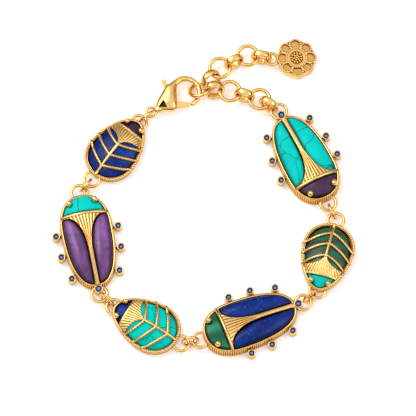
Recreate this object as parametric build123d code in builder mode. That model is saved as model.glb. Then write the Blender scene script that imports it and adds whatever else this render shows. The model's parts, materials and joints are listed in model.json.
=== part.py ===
from build123d import *
from math import atan2, cos, degrees, hypot, pi, radians, sin
import os

# Scarab bracelet, lying closed: six inlaid scarabs on jump rings, a lobster clasp, a rolo extender
# chain and a rosette at its end. Millimetres, +Z up, origin on the table under the middle of the
# bracelet. Each scarab is built at the origin with +Y to its head, then turned and moved to its place.

# Gaps that keep neighbouring pieces apart
stone_gap = 0.08
ring_gap = 0.12

# Large scarab: three of them, with two wings, a head stone and six legs
large_half_width = 6.15
large_head_length = 8.4
large_tail_length = 14.4
large_widest_y = 3.85
large_head_power = 2.3
large_tail_power = 2.4
large_rim = 0.65
large_floor = 1.1
large_rim_head_height = 3.3
large_rim_tail_height = 2.45
large_axis_height = -5.0
large_back_tail_height = 2.75
large_back_middle_height = 4.6
large_back_head_height = 4.3
bar_along = 0.393
bar_width = 0.8
spine_width = 1.15
fan_half_width = 4.5
fan_root_along = 0.323
flute_count = 7
flute_width = 0.22
flute_depth = 0.22
flute_root_share = 0.3
wing_tail_x = 1.5
wing_head_x = 3.5
wing_tail_setback = 0.95
wing_head_setback = 0.55
wing_overrun = 0.6
wing_axis_height = 0.4
wing_tail_height = 2.7
wing_middle_height = 4.1
wing_head_height = 3.6
head_stone_drop = 0.2
large_eye_x = 3.05
large_eye_along = 0.738
large_eye_radius = 0.64
large_eye_top = 5.2

# Leg and tail stones of the large scarab, in cups that stand off its edge on short necks
leg_turns = (-1.0, -18.7, -46.0)
leg_neck = 0.25
neck_width = 0.9
neck_top = 1.9
leg_cup_radius = 0.95
leg_cup_top = 2.5
tail_cup_reach = 0.61
tail_cup_radius = 1.06
tail_cup_top = 2.65
cup_low = 0.55
cup_wall = 0.3
cup_depth = 0.85
cup_lip = 0.2
table_share = 0.56
crown_height = 0.22
girdle_height = 0.06
pavilion_height = 0.4
culet_share = 0.12
stone_facets = 8

# Small scarab: three of them, one body stone under a leaf-veined cage, and a head stone
small_half_width = 5.9
small_head_length = 10.65
small_tail_length = 5.95
small_widest_y = -1.15
small_head_power = 1.8
small_tail_power = 2.05
small_rim = 0.55
small_floor = 0.9
small_rim_height = 2.1
small_axis_height = -3.5
small_back_tail_height = 1.95
small_back_middle_height = 4.4
small_back_head_height = 2.1
cage_thickness = 0.42
vein_width = 0.5
vein_bow = 0.35
vein_roots = (1.4, -1.64, -4.66)
vein_tips = ((4.84, 3.98), (5.58, 1.49), (5.85, -1.05))
collar_along = 0.693
collar_wall = 0.55
collar_half_width = 4.7
collar_root_y = 1.4
collar_root_width = 0.5
collar_rise = 2.7
collar_flutes = 11
collar_flute_reach = 0.8
collar_flute_width = 0.16
collar_flute_depth = 0.14
small_eye_x = 2.02
small_eye_along = 0.836
small_eye_radius = 0.62
small_eye_top = 3.85
eye_post_radius = 0.28

# Loops soldered to both ends of each scarab, and the jump rings between them
loop_outer = 4.45
loop_wire = 0.78
large_loop_height = 1.9
small_loop_height = 1.5
large_head_loop_reach = 0.95
large_tail_loop_reach = 1.85
small_head_loop_reach = 0.0
small_tail_loop_reach = 1.27
jump_outer = 4.2
jump_wire = 0.74
jump_lean = 12.0
jump_setback = 0.1

# Rolo chain of the extender: flat links joined by standing bands
link_outer = 5.6
link_radial = 0.8
link_axial = 1.0
link_run = 1.65
first_run = 0.3
first_band_shift = 0.4
hooked_run = 1.5
hooked_height = 2.24
hooked_tilt = 35.3
hooked_turn = 27.4

# Lobster clasp: its own origin is the middle of the hook's curve, with +X away from the eye. Its plan
# is given in shares of its length.
clasp_length = 14.8
clasp_thickness = 2.7
clasp_height = 2.07
eye_x = -0.652 * clasp_length
eye_outer = 3.0
eye_wire = 0.66
hook_radius = 0.2074 * clasp_length
hook_tip_radius = 0.2473 * clasp_length
hook_tip_turn = -97.0
hook_tip_ball = 0.6
hook_pass = (0.1966 * clasp_length, -0.1101 * clasp_length)
slot_width = 1.3
lever_width = 1.1
lever_clearance = 0.12
pin_clearance = 0.08
lever_travel = 24.0
slot_swings = 4
pivot_place = (-0.2892 * clasp_length, -0.0878 * clasp_length)
pivot_radius = 0.35
hub_radius = 0.95
gate_tip = (-0.0912 * clasp_length, -0.2216 * clasp_length)
gate_root_width = 1.5
gate_tip_width = 0.95
thumb_tip = (-0.1993 * clasp_length, 0.3176 * clasp_length)
thumb_width = 1.0

# Rosette at the end of the extender
rosette_radius = 4.7
rosette_thickness = 1.5
rosette_rim = 0.36
rosette_relief = 0.35
petal_count = 4
large_petal_radius = 1.5
small_petal_radius = 1.2
inner_ring_radius = 2.25
granule_radius = 0.3
granule_bed_radius = 1.5
granule_rows = ((1, 0.0), (6, 0.58), (12, 1.14))
rosette_loop_outer = 3.6
rosette_loop_wire = 0.7
rosette_loop_overlap = 0.2
rosette_run = 0.9
rosette_lean = 7.0

# Directions of travel round the bracelet, in degrees from +X, chosen by eye. The closed run goes from
# the head loop of the first small scarab round to it again; the open run is the free end of the chain.
closed_route = (
    ("small_lapis", 233.7),
    ("jump_ring_1", 231.0),
    ("large_amethyst", 282.1),
    ("jump_ring_2", 320.1),
    ("small_turquoise", 330.6),
    ("jump_ring_3", 369.0),
    ("large_lapis", 381.3),
    ("jump_ring_4", 403.4),
    ("small_malachite", 436.0),
    ("jump_ring_5", 473.8),
    ("large_turquoise", 476.85),
    ("chain_link_1", 510.5),
    ("chain_link_2", 524.8),
    ("chain_link_3", 535.8),
    ("clasp", 567.5),
    ("clasp_ring", 580.5),
)
open_route = (("chain_link_4", 48.7), ("chain_link_5", 26.0), ("rosette", -6.0))
rosette_direction = 5.0
# Seats of the two bands that hang in the hooked link: distance from its middle, step to the left of
# the line to the next link, turn from that line and lean, chosen clear of each other
hooked_bands = (
    {"name": "chain_band_3", "along": 3.437, "side": 0.058, "turn": 8.6, "lean": 16.2},
    {"name": "chain_band_4", "along": 3.532, "side": -0.395, "turn": -6.0, "lean": 21.9},
)

# The clasp's cross-sections from the eye to the hook's root, as shares of its length and thickness:
# middle of the section, direction of travel in degrees, width and thickness
clasp_sections = (
    {"x": -0.592, "y": 0.000, "turn": 0.0, "width": 0.088, "thick": 0.48},
    {"x": -0.500, "y": 0.000, "turn": 0.0, "width": 0.172, "thick": 0.72},
    {"x": -0.426, "y": 0.000, "turn": 2.0, "width": 0.277, "thick": 0.87},
    {"x": -0.311, "y": 0.008, "turn": 8.0, "width": 0.368, "thick": 1.00},
    {"x": -0.226, "y": 0.095, "turn": 18.0, "width": 0.284, "thick": 0.98},
    {"x": -0.128, "y": 0.187, "turn": 35.0, "width": 0.162, "thick": 0.80},
)
# The hook's cross-sections along its curve: place in degrees round the curve, width and thickness
hook_sections = (
    {"place": 104.0, "width": 0.112, "thick": 0.60},
    {"place": 75.0, "width": 0.100, "thick": 0.53},
    {"place": 45.0, "width": 0.092, "thick": 0.48},
    {"place": 15.0, "width": 0.084, "thick": 0.44},
    {"place": -15.0, "width": 0.081, "thick": 0.43},
    {"place": -45.0, "width": 0.078, "thick": 0.42},
    {"place": -75.0, "width": 0.076, "thick": 0.42},
    {"place": -97.0, "width": 0.074, "thick": 0.41},
)


def egg_place(size, inset, turn):
    """A place on the egg outline: a superellipse whose head and tail halves differ."""
    if size == "large":
        half_width, widest_y = large_half_width, large_widest_y
        head, head_power = large_head_length, large_head_power
        tail, tail_power = large_tail_length, large_tail_power
    else:
        half_width, widest_y = small_half_width, small_widest_y
        head, head_power = small_head_length, small_head_power
        tail, tail_power = small_tail_length, small_tail_power
    across = cos(radians(turn))
    along = sin(radians(turn))
    length = head if along > 0 else tail
    power = head_power if along > 0 else tail_power
    x = (half_width - inset) * abs(across) ** (2 / power) * (1 if across > 0 else -1)
    y = (length - inset) * abs(along) ** (2 / power) * (1 if along > 0 else -1)
    return (x, widest_y + y)


def egg(size, inset, mode=Mode.ADD):
    """Draws the egg outline of a scarab, moved in by inset, in the open sketch."""
    steps = 32
    with BuildLine() as outline:
        Spline(*[egg_place(size, inset, 360 * step / steps) for step in range(steps)], periodic=True)
    make_face(outline.edges(), mode=mode)


def outside_place(size, turn, reach):
    """The place that stands a given reach outside the outline, square to it."""
    before = egg_place(size, 0, turn - 0.5)
    after = egg_place(size, 0, turn + 0.5)
    here = egg_place(size, 0, turn)
    run = hypot(after[0] - before[0], after[1] - before[1])
    return (here[0] + reach * (after[1] - before[1]) / run, here[1] - reach * (after[0] - before[0]) / run)


def barrel(axis_height, tail, middle, head, drop=0.0):
    """A solid turned about a line along Y, whose back is an arc through three (y, height) places."""
    low_tail = (tail[0], tail[1] - drop)
    low_middle = (middle[0], middle[1] - drop)
    low_head = (head[0], head[1] - drop)
    with BuildPart() as turned:
        with BuildSketch(Plane.YZ):
            with BuildLine():
                ThreePointArc(low_tail, low_middle, low_head)
                Line(low_head, (head[0], axis_height))
                Line((head[0], axis_height), (tail[0], axis_height))
                Line((tail[0], axis_height), low_tail)
            make_face()
        revolve(axis=Axis((0, 0, axis_height), (0, 1, 0)))
    return turned.part


def fan_plan(half_width, root_half_width, root_y, side, top_y, grow):
    """Draws a fan: its sides are quarter ellipses that meet its narrow root."""
    with Locations((0, (root_y + top_y) / 2)):
        Rectangle(2 * half_width, top_y - root_y)
    for hand in (-1, 1):
        with Locations((hand * half_width, root_y)):
            Ellipse(half_width - root_half_width - grow, side - grow, mode=Mode.SUBTRACT)


def strip(start, end, width):
    """Draws a straight strip from one place to another in the open sketch."""
    length = hypot(end[0] - start[0], end[1] - start[1])
    turn = degrees(atan2(end[1] - start[1], end[0] - start[0]))
    with Locations(Location(((start[0] + end[0]) / 2, (start[1] + end[1]) / 2), turn)):
        Rectangle(length, width)


def vein(root, tip):
    """Draws a vein in the open sketch: an arc that bows towards the tail."""
    middle = ((root[0] + tip[0]) / 2, (root[1] + tip[1]) / 2 - vein_bow)
    SlotArc(Edge.make_three_point_arc(root, middle, tip), vein_width)


# The large scarab's arched back
large_tip_y = large_widest_y + large_head_length
large_end_y = large_widest_y - large_tail_length
large_head_loop_y = large_tip_y + large_head_loop_reach
large_tail_loop_y = large_end_y - large_tail_loop_reach
large_arch = (
    (large_end_y - wing_overrun, large_back_tail_height),
    ((large_tip_y + large_end_y) / 2, large_back_middle_height),
    (large_tip_y + wing_overrun, large_back_head_height),
)
large_back = barrel(large_axis_height, *large_arch)
large_flute_floor = barrel(large_axis_height, *large_arch, drop=flute_depth)
head_stone_back = barrel(large_axis_height, *large_arch, drop=head_stone_drop)
above_all = 2 * large_back_middle_height
bar_y = large_widest_y + bar_along * large_head_length
fan_root_y = large_widest_y - fan_root_along * large_tail_length
bar_low_y = bar_y - bar_width / 2
bar_high_y = bar_y + bar_width / 2
spine_end_y = large_end_y + large_rim / 2


def large_web_plan(grow):
    """Draws the metal between the stones, bar, fan and spine, grown by a gap."""
    fan_plan(fan_half_width, spine_width / 2, fan_root_y, bar_low_y - fan_root_y, bar_low_y, grow)
    with Locations((0, bar_y)):
        Rectangle(2 * large_half_width, bar_width + 2 * grow)
    with Locations((0, (bar_y + spine_end_y) / 2)):
        Rectangle(spine_width + 2 * grow, bar_y - spine_end_y)


with BuildSketch() as large_gap_plan:
    large_web_plan(stone_gap)

with BuildPart() as large_flutes:
    with BuildSketch(Plane.XY.offset(large_floor)):
        for index in range(flute_count):
            share = (2 * index + 1) / flute_count - 1
            root = (share * spine_width * flute_root_share, fan_root_y + bar_width)
            strip(root, (share * (fan_half_width - bar_width), bar_low_y), flute_width)
        strip((0, spine_end_y + large_rim), (0, fan_root_y + bar_width), flute_width)
    extrude(amount=above_all)
    add(large_flute_floor, mode=Mode.SUBTRACT)

with BuildPart() as large_web:
    with BuildSketch(Plane.XY.offset(large_floor / 2)):
        large_web_plan(0)
        egg("large", large_rim / 2, Mode.INTERSECT)
    extrude(amount=above_all)
    add(large_back, mode=Mode.INTERSECT)
    add(large_flutes.part, mode=Mode.SUBTRACT)

# The cups for the small cut stones: (place, radius, top)
leg_reach = leg_cup_radius + leg_neck
leg_places = [outside_place("large", turn, leg_reach) for turn in leg_turns]
leg_roots = [outside_place("large", turn, -large_rim / 2) for turn in leg_turns]
cups = [((hand * x, y), leg_cup_radius, leg_cup_top) for x, y in leg_places for hand in (-1, 1)]
cups.append(((0, large_end_y - tail_cup_reach), tail_cup_radius, tail_cup_top))
rim_slope = (large_rim_head_height - large_rim_tail_height) / (large_tip_y - large_end_y)
large_rim_plane = Plane(origin=(0, large_end_y, large_rim_tail_height), x_dir=(1, 0, 0),
                        z_dir=(0, -rim_slope, 1))
large_eye_place = (large_eye_x, large_widest_y + large_eye_along * large_head_length)
large_eye_height = large_eye_top - large_eye_radius

with BuildPart() as large_setting:
    with BuildSketch():
        egg("large", 0)
    extrude(amount=above_all)
    split(bisect_by=large_rim_plane, keep=Keep.BOTTOM)
    for loop_y in (large_head_loop_y, large_tail_loop_y):
        with Locations((0, loop_y, large_loop_height)):
            Torus((loop_outer - loop_wire) / 2, loop_wire / 2)
    with BuildSketch(Plane.XY.offset(large_floor)):
        egg("large", large_rim)
    extrude(amount=above_all, mode=Mode.SUBTRACT)
    with BuildSketch(Plane.XY.offset(cup_low)):
        for root, place in zip(leg_roots, leg_places):
            for hand in (-1, 1):
                strip((hand * root[0], root[1]), (hand * place[0], place[1]), neck_width)
    extrude(amount=neck_top - cup_low)
    for place, radius, top in cups:
        with BuildSketch(Plane.XY.offset(cup_low)):
            with Locations(place):
                Circle(radius)
        extrude(amount=top - cup_low)
    for place, radius, top in cups:
        with BuildSketch(Plane.XY.offset(top)):
            with Locations(place):
                Circle(radius - cup_wall)
        extrude(amount=-cup_depth, mode=Mode.SUBTRACT)
    add(large_web.part)
    for hand in (-1, 1):
        with BuildSketch(Plane.XY.offset(large_floor / 2)):
            with Locations((hand * large_eye_place[0], large_eye_place[1])):
                Circle(eye_post_radius)
        extrude(amount=large_eye_height - large_floor / 2)
        with Locations((hand * large_eye_place[0], large_eye_place[1], large_eye_height)):
            Sphere(large_eye_radius)


def pierce_for_eyes(place, radius, height):
    """Cuts the seats of the two eye balls and the holes of their posts in the open part."""
    for hand in (-1, 1):
        with Locations((hand * place[0], place[1], height)):
            Sphere(radius + stone_gap, mode=Mode.SUBTRACT)
            Cylinder(eye_post_radius + stone_gap, above_all, mode=Mode.SUBTRACT)


with BuildPart() as large_head_stone:
    with BuildSketch(Plane.XY.offset(large_floor + stone_gap)):
        egg("large", large_rim + stone_gap)
        with Locations((0, bar_high_y + stone_gap)):
            Rectangle(4 * large_half_width, 2 * large_head_length, align=(Align.CENTER, Align.MIN),
                      mode=Mode.INTERSECT)
    extrude(amount=above_all)
    add(head_stone_back, mode=Mode.INTERSECT)
    pierce_for_eyes(large_eye_place, large_eye_radius, large_eye_height)

# Each wing is a long cabochon with its own arched back along its length
wing_tail_place = (wing_tail_x, large_end_y + wing_tail_setback)
wing_head_place = (wing_head_x, bar_low_y - wing_head_setback)
wing_run = (wing_head_place[0] - wing_tail_place[0], wing_head_place[1] - wing_tail_place[1])
wing_middle = (
    (wing_head_place[0] + wing_tail_place[0]) / 2,
    (wing_head_place[1] + wing_tail_place[1]) / 2,
)
wing_half_length = hypot(*wing_run) / 2 + wing_overrun
wing_turn = degrees(atan2(wing_run[0], wing_run[1]))
wing_barrel = barrel(wing_axis_height, (-wing_half_length, wing_tail_height), (0, wing_middle_height),
                     (wing_half_length, wing_head_height))
wing_back = wing_barrel.moved(Location((wing_middle[0], wing_middle[1], 0), (0, 0, -wing_turn)))

with BuildPart() as wing_right:
    with BuildSketch(Plane.XY.offset(large_floor + stone_gap)):
        egg("large", large_rim + stone_gap)
        add(large_gap_plan.sketch, mode=Mode.SUBTRACT)
        with Locations((0, bar_low_y)):
            Rectangle(2 * large_half_width, 2 * large_tail_length, align=(Align.MIN, Align.MAX),
                      mode=Mode.INTERSECT)
    extrude(amount=above_all)
    add(wing_back, mode=Mode.INTERSECT)

with BuildPart() as wing_left:
    add(mirror(wing_right.part, about=Plane.YZ, mode=Mode.PRIVATE))


def cut_stone(radius):
    """A small brilliant: a table, a ring of crown facets, a girdle and a ring of pavilion facets."""
    girdle_top = pavilion_height + girdle_height
    levels = (
        (0, culet_share),
        (pavilion_height, 1),
        (girdle_top, 1),
        (girdle_top + crown_height, table_share),
    )
    with BuildPart() as stone:
        for low, high in zip(levels, levels[1:]):
            for height, share in (low, high):
                with BuildSketch(Plane.XY.offset(height)):
                    RegularPolygon(radius * share, stone_facets)
            loft(ruled=True)
    return stone.part


cut_stone_height = pavilion_height + girdle_height + crown_height
with BuildPart() as accent_stones:
    for place, radius, top in cups:
        stone = cut_stone(radius - cup_wall - stone_gap)
        add(stone.moved(Location((place[0], place[1], top - cup_lip / 2 - cut_stone_height))))

# The small scarab's arched back: the cage is a shell under it, and the stone lies under the shell
small_tip_y = small_widest_y + small_head_length
small_end_y = small_widest_y - small_tail_length
small_head_loop_y = small_tip_y + small_head_loop_reach
small_tail_loop_y = small_end_y - small_tail_loop_reach
collar_y = small_widest_y + collar_along * small_head_length
small_arch = (
    (small_end_y, small_back_tail_height),
    ((small_tip_y + small_end_y) / 2, small_back_middle_height),
    (small_tip_y, small_back_head_height),
)
small_back = barrel(small_axis_height, *small_arch)
small_shell_floor = barrel(small_axis_height, *small_arch, drop=cage_thickness)
small_stone_back = barrel(small_axis_height, *small_arch, drop=cage_thickness + stone_gap)
collar_flute_floor = barrel(small_axis_height, *small_arch, drop=collar_flute_depth)
collar_low_y = collar_y - collar_wall
small_eye_place = (small_eye_x, small_widest_y + small_eye_along * small_head_length)
small_eye_height = small_eye_top - small_eye_radius

with BuildPart() as collar_grooves:
    with BuildSketch(Plane.XY.offset(small_floor)):
        for index in range(collar_flutes):
            share = (2 * index + 1) / collar_flutes - 1
            root_y = collar_root_y + collar_wall + collar_rise * abs(share)
            root_x = share * (collar_root_width + collar_half_width * abs(share) / 2)
            end_x = share * collar_half_width * collar_flute_reach
            strip((root_x, root_y), (end_x, collar_y - collar_wall / 2), collar_flute_width)
    extrude(amount=above_all)
    add(collar_flute_floor, mode=Mode.SUBTRACT)

with BuildPart() as small_cage:
    with BuildSketch(Plane.XY.offset(small_floor)):
        fan_plan(collar_half_width, collar_root_width / 2, collar_root_y, collar_rise, collar_y, 0)
        strip((0, small_end_y), (0, collar_root_y + collar_wall), vein_width)
        for root_y, tip in zip(vein_roots, vein_tips):
            for hand in (-1, 1):
                vein((0, root_y), (hand * tip[0], tip[1]))
        egg("small", small_rim / 2, Mode.INTERSECT)
    extrude(amount=above_all)
    add(small_back, mode=Mode.INTERSECT)
    add(small_shell_floor, mode=Mode.SUBTRACT)
    add(collar_grooves.part, mode=Mode.SUBTRACT)

with BuildPart() as collar_partition:
    with BuildSketch(Plane.XY.offset(small_floor / 2)):
        with Locations((0, collar_y - collar_wall / 2)):
            Rectangle(2 * small_half_width, collar_wall)
        egg("small", small_rim / 2, Mode.INTERSECT)
    extrude(amount=above_all)
    add(small_back, mode=Mode.INTERSECT)

with BuildPart() as small_setting:
    with BuildSketch():
        egg("small", 0)
    extrude(amount=small_rim_height)
    for loop_y in (small_head_loop_y, small_tail_loop_y):
        with Locations((0, loop_y, small_loop_height)):
            Torus((loop_outer - loop_wire) / 2, loop_wire / 2)
    with BuildSketch(Plane.XY.offset(small_floor)):
        egg("small", small_rim)
    extrude(amount=above_all, mode=Mode.SUBTRACT)
    add(collar_partition.part)
    add(small_cage.part)
    for hand in (-1, 1):
        with BuildSketch(Plane.XY.offset(small_floor / 2)):
            with Locations((hand * small_eye_place[0], small_eye_place[1])):
                Circle(eye_post_radius)
        extrude(amount=small_eye_height - small_floor / 2)
        with Locations((hand * small_eye_place[0], small_eye_place[1], small_eye_height)):
            Sphere(small_eye_radius)

with BuildPart() as body_stone:
    with BuildSketch(Plane.XY.offset(small_floor + stone_gap)):
        egg("small", small_rim + stone_gap)
        with Locations((0, collar_low_y - stone_gap)):
            Rectangle(4 * small_half_width, 4 * small_tail_length, align=(Align.CENTER, Align.MAX),
                      mode=Mode.INTERSECT)
    extrude(amount=above_all)
    add(small_stone_back, mode=Mode.INTERSECT)

with BuildPart() as small_head_stone:
    with BuildSketch(Plane.XY.offset(small_floor + stone_gap)):
        egg("small", small_rim + stone_gap)
        with Locations((0, collar_y + stone_gap)):
            Rectangle(4 * small_half_width, small_head_length, align=(Align.CENTER, Align.MIN),
                      mode=Mode.INTERSECT)
    extrude(amount=above_all)
    add(small_stone_back, mode=Mode.INTERSECT)
    pierce_for_eyes(small_eye_place, small_eye_radius, small_eye_height)

# Rings and links, flat at the origin
with BuildPart() as jump_ring:
    Torus((jump_outer - jump_wire) / 2, jump_wire / 2)

link_middle_radius = (link_outer - link_radial) / 2
with BuildPart() as chain_link:
    with BuildSketch(Plane.XZ):
        with Locations((link_middle_radius, 0)):
            Ellipse(link_radial / 2, link_axial / 2)
    revolve(axis=Axis.Z)


def hook_place(place):
    """A place on the hook's curve, which widens towards its tip."""
    share = max(0.0, -place / -hook_tip_turn)
    radius = hook_radius + (hook_tip_radius - hook_radius) * share
    return (radius * cos(radians(place)), radius * sin(radians(place)))


clasp_rows = []
for row in clasp_sections:
    middle = (row["x"] * clasp_length, row["y"] * clasp_length)
    clasp_rows.append((middle, row["turn"], row["width"], row["thick"]))
for row in hook_sections:
    clasp_rows.append((hook_place(row["place"]), row["place"] - 90, row["width"], row["thick"]))


def lever_plan(swing, grow):
    """Draws the clasp's lever, hub, gate and thumb piece, swung about its pin and grown by a gap."""
    pin = Vector(*pivot_place)
    with Locations(pivot_place):
        Circle(hub_radius + grow)
    for tip, root_width, tip_width in (
        (gate_tip, gate_root_width, gate_tip_width),
        (thumb_tip, thumb_width, thumb_width),
    ):
        arm = (Vector(*tip) - pin).rotate(Axis.Z, swing)
        side = Vector(-arm.Y, arm.X).normalized()
        reach = arm + arm.normalized() * grow
        Polygon(
            pin + side * (root_width / 2 + grow),
            pin + reach + side * (tip_width / 2 + grow),
            pin + reach - side * (tip_width / 2 + grow),
            pin - side * (root_width / 2 + grow),
            align=None,
        )
        with Locations(pin + arm):
            Circle(tip_width / 2 + grow)


with BuildPart() as clasp_body:
    for middle, turn, width, thick in clasp_rows:
        across = (cos(radians(turn + 90)), sin(radians(turn + 90)), 0)
        along = (cos(radians(turn)), sin(radians(turn)), 0)
        with BuildSketch(Plane(origin=(middle[0], middle[1], 0), x_dir=across, z_dir=along)):
            Ellipse(width * clasp_length / 2, thick * clasp_thickness / 2)
    loft()
    with Locations((eye_x, 0, 0)):
        Torus((eye_outer - eye_wire) / 2, eye_wire / 2)
    with Locations((*hook_place(hook_tip_turn), 0)):
        Sphere(hook_tip_ball, rotation=(90, 0, 0))
    with BuildSketch(Plane.XY.offset(-slot_width / 2)):
        for step in range(slot_swings):
            lever_plan(lever_travel * step / (slot_swings - 1), lever_clearance)
    extrude(amount=slot_width, mode=Mode.SUBTRACT)
    with BuildSketch(Plane.XY.offset(-clasp_thickness / 2 + pivot_radius)):
        with Locations(pivot_place):
            Circle(pivot_radius)
    extrude(amount=clasp_thickness - 2 * pivot_radius)

with BuildPart() as clasp_lever:
    with BuildSketch(Plane.XY.offset(-lever_width / 2)):
        lever_plan(0, 0)
        with Locations(pivot_place):
            Circle(pivot_radius + pin_clearance, mode=Mode.SUBTRACT)
    extrude(amount=lever_width)

# The rosette, flat at the origin with its loop on the -X side
rosette_loop_x = -(rosette_radius + rosette_loop_outer / 2 - rosette_loop_overlap - rosette_rim)
petals = []
for index in range(petal_count):
    petals.append((index * 360 / petal_count, large_petal_radius))
    petals.append(((index + 0.5) * 360 / petal_count, small_petal_radius))

with BuildPart() as rosette:
    with BuildSketch():
        Circle(rosette_radius - small_petal_radius)
        for turn, radius in petals:
            with Locations(Location((0, 0), turn) * Location((rosette_radius - radius, 0))):
                Circle(radius)
    extrude(amount=rosette_thickness)
    with BuildSketch(Plane.XY.offset(rosette_thickness)):
        for turn, radius in petals:
            with Locations(Location((0, 0), turn) * Location((rosette_radius - radius, 0))):
                Circle(radius)
        for turn, radius in petals:
            with Locations(Location((0, 0), turn) * Location((rosette_radius - radius, 0))):
                Circle(radius - rosette_rim, mode=Mode.SUBTRACT)
        Circle(inner_ring_radius)
        Circle(inner_ring_radius - rosette_rim, mode=Mode.SUBTRACT)
        Circle(granule_bed_radius)
    extrude(amount=rosette_relief)
    for count, radius in granule_rows:
        with PolarLocations(radius, count):
            with Locations((0, 0, rosette_thickness + rosette_relief)):
                Sphere(granule_radius)
    with Locations((rosette_loop_x, 0, rosette_thickness / 2)):
        Torus((rosette_loop_outer - rosette_loop_wire) / 2, rosette_loop_wire / 2)

# Length of each run of the route, from the sizes above
large_pitch = large_head_loop_y - large_tail_loop_y
small_pitch = small_head_loop_y - small_tail_loop_y
clasp_reach = (eye_x - hook_pass[0], -hook_pass[1])


def run_length(name):
    """The straight distance that one piece of the route spans."""
    if name.startswith("large"):
        return large_pitch
    if name.startswith("small"):
        return small_pitch
    if name.startswith("jump_ring"):
        return loop_outer + ring_gap
    if name == "chain_link_1":
        return (loop_outer + link_outer) / 2 + first_run
    if name in ("chain_link_3", "chain_link_4"):
        return link_outer + hooked_run
    if name.startswith("chain_link"):
        return link_outer + link_run
    if name == "clasp":
        return hypot(*clasp_reach)
    if name == "clasp_ring":
        return (eye_outer + loop_outer) / 2 + ring_gap
    return (link_outer + rosette_loop_outer) / 2 + rosette_run


# The closed run is brought back to its start by turning every piece a little, the least in all
names = [name for name, turn in closed_route]
turns = [radians(turn) for name, turn in closed_route]
lengths = [run_length(name) for name in names]
for attempt in range(12):
    gap_x = sum(length * cos(turn) for length, turn in zip(lengths, turns))
    gap_y = sum(length * sin(turn) for length, turn in zip(lengths, turns))
    slopes = [(-length * sin(turn), length * cos(turn)) for length, turn in zip(lengths, turns)]
    xx = sum(dx * dx for dx, dy in slopes)
    xy = sum(dx * dy for dx, dy in slopes)
    yy = sum(dy * dy for dx, dy in slopes)
    spread = xx * yy - xy * xy
    pull_x = (yy * gap_x - xy * gap_y) / spread
    pull_y = (xx * gap_y - xy * gap_x) / spread
    turns = [turn - dx * pull_x - dy * pull_y for turn, (dx, dy) in zip(turns, slopes)]

pieces = {}


def place_piece(name, master, location):
    """Keeps a copy of a master solid at its place on the table."""
    pieces[name] = master.moved(location)


def standing(spot, direction, height, lean=0.0):
    """Where a ring stands on its edge along the chain's direction."""
    facing = Location((spot[0], spot[1], height), (0, 0, degrees(direction)))
    return facing * Location((0, 0, 0), (90 - lean, 0, 0))


def stand_height(middle_radius, radial, axial, lean):
    """Height of a leaning ring's middle when its lowest edge is on the table."""
    low = hypot(radial / 2 * cos(radians(lean)), axial / 2 * sin(radians(lean)))
    return middle_radius * cos(radians(lean)) + low


def place_band(name, middle, direction, lean=0.0):
    """Stands a band link on the table."""
    height = stand_height(link_middle_radius, link_radial, link_axial, lean)
    place_piece(name, chain_link.part, standing(middle, direction, height, lean))


def place_hooked_band(name, hooked, direction):
    """Stands a band link at its own seat in the hooked link."""
    (seat,) = [row for row in hooked_bands if row["name"] == name]
    middle = ahead(ahead(hooked, direction, seat["along"]), direction + pi / 2, seat["side"])
    place_band(name, middle, direction + radians(seat["turn"]), seat["lean"])


def ahead(spot, direction, reach):
    """The place a given reach away in a direction."""
    return (spot[0] + reach * cos(direction), spot[1] + reach * sin(direction))


chain_height = link_outer / 2
jump_height = stand_height((jump_outer - jump_wire) / 2, jump_wire, jump_wire, jump_lean)
spot = (0.0, 0.0)
for name, turn, length in zip(names, turns, lengths):
    goal = ahead(spot, turn, length)
    if name.startswith("large"):
        there = Location((*ahead(spot, turn, large_head_loop_y), 0), (0, 0, degrees(turn) + 90))
        place_piece(name + "_setting", large_setting.part, there)
        place_piece(name + "_wing_left", wing_left.part, there)
        place_piece(name + "_wing_right", wing_right.part, there)
        place_piece(name + "_head_stone", large_head_stone.part, there)
        place_piece(name + "_accent_stones", accent_stones.part, there)
    elif name.startswith("small"):
        there = Location((*ahead(spot, turn, small_head_loop_y), 0), (0, 0, degrees(turn) + 90))
        place_piece(name + "_setting", small_setting.part, there)
        place_piece(name + "_body_stone", body_stone.part, there)
        place_piece(name + "_head_stone", small_head_stone.part, there)
    elif name.startswith("jump_ring"):
        middle = ahead(spot, turn, length / 2 - jump_setback)
        place_piece(name, jump_ring.part, standing(middle, turn, jump_height, jump_lean))
    elif name.startswith("chain_link"):
        if name == "chain_link_3":
            facing = Location((*goal, hooked_height), (0, 0, hooked_turn))
            tilted = facing * Location((0, 0, 0), (-hooked_tilt, 0, 0))
            place_piece(name, chain_link.part, tilted)
            place_hooked_band("chain_band_3", goal, turn + pi)
            hooked = goal
        else:
            place_piece(name, chain_link.part, Location((*goal, chain_height)))
        if name == "chain_link_1":
            reach = (loop_outer - loop_wire) / 2 + length - link_middle_radius
            place_band("chain_band_1", ahead(spot, turn, reach / 2 + first_band_shift), turn)
        if name == "chain_link_2":
            place_band("chain_band_2", ahead(spot, turn, length / 2), turn)
    elif name == "clasp":
        clasp_turn = turn - atan2(clasp_reach[1], clasp_reach[0])
        back = hypot(*hook_pass)
        corner = ahead(spot, clasp_turn + atan2(hook_pass[1], hook_pass[0]), -back)
        clasp_there = Location((*corner, clasp_height), (0, 0, degrees(clasp_turn)))
        place_piece("clasp_body", clasp_body.part, clasp_there)
        place_piece("clasp_lever", clasp_lever.part, clasp_there)
    elif name == "clasp_ring":
        middle = ahead(spot, turn, (eye_outer + ring_gap) / 2 - jump_setback)
        place_piece(name, jump_ring.part, standing(middle, turn, jump_height, jump_lean))
    spot = goal

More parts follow.
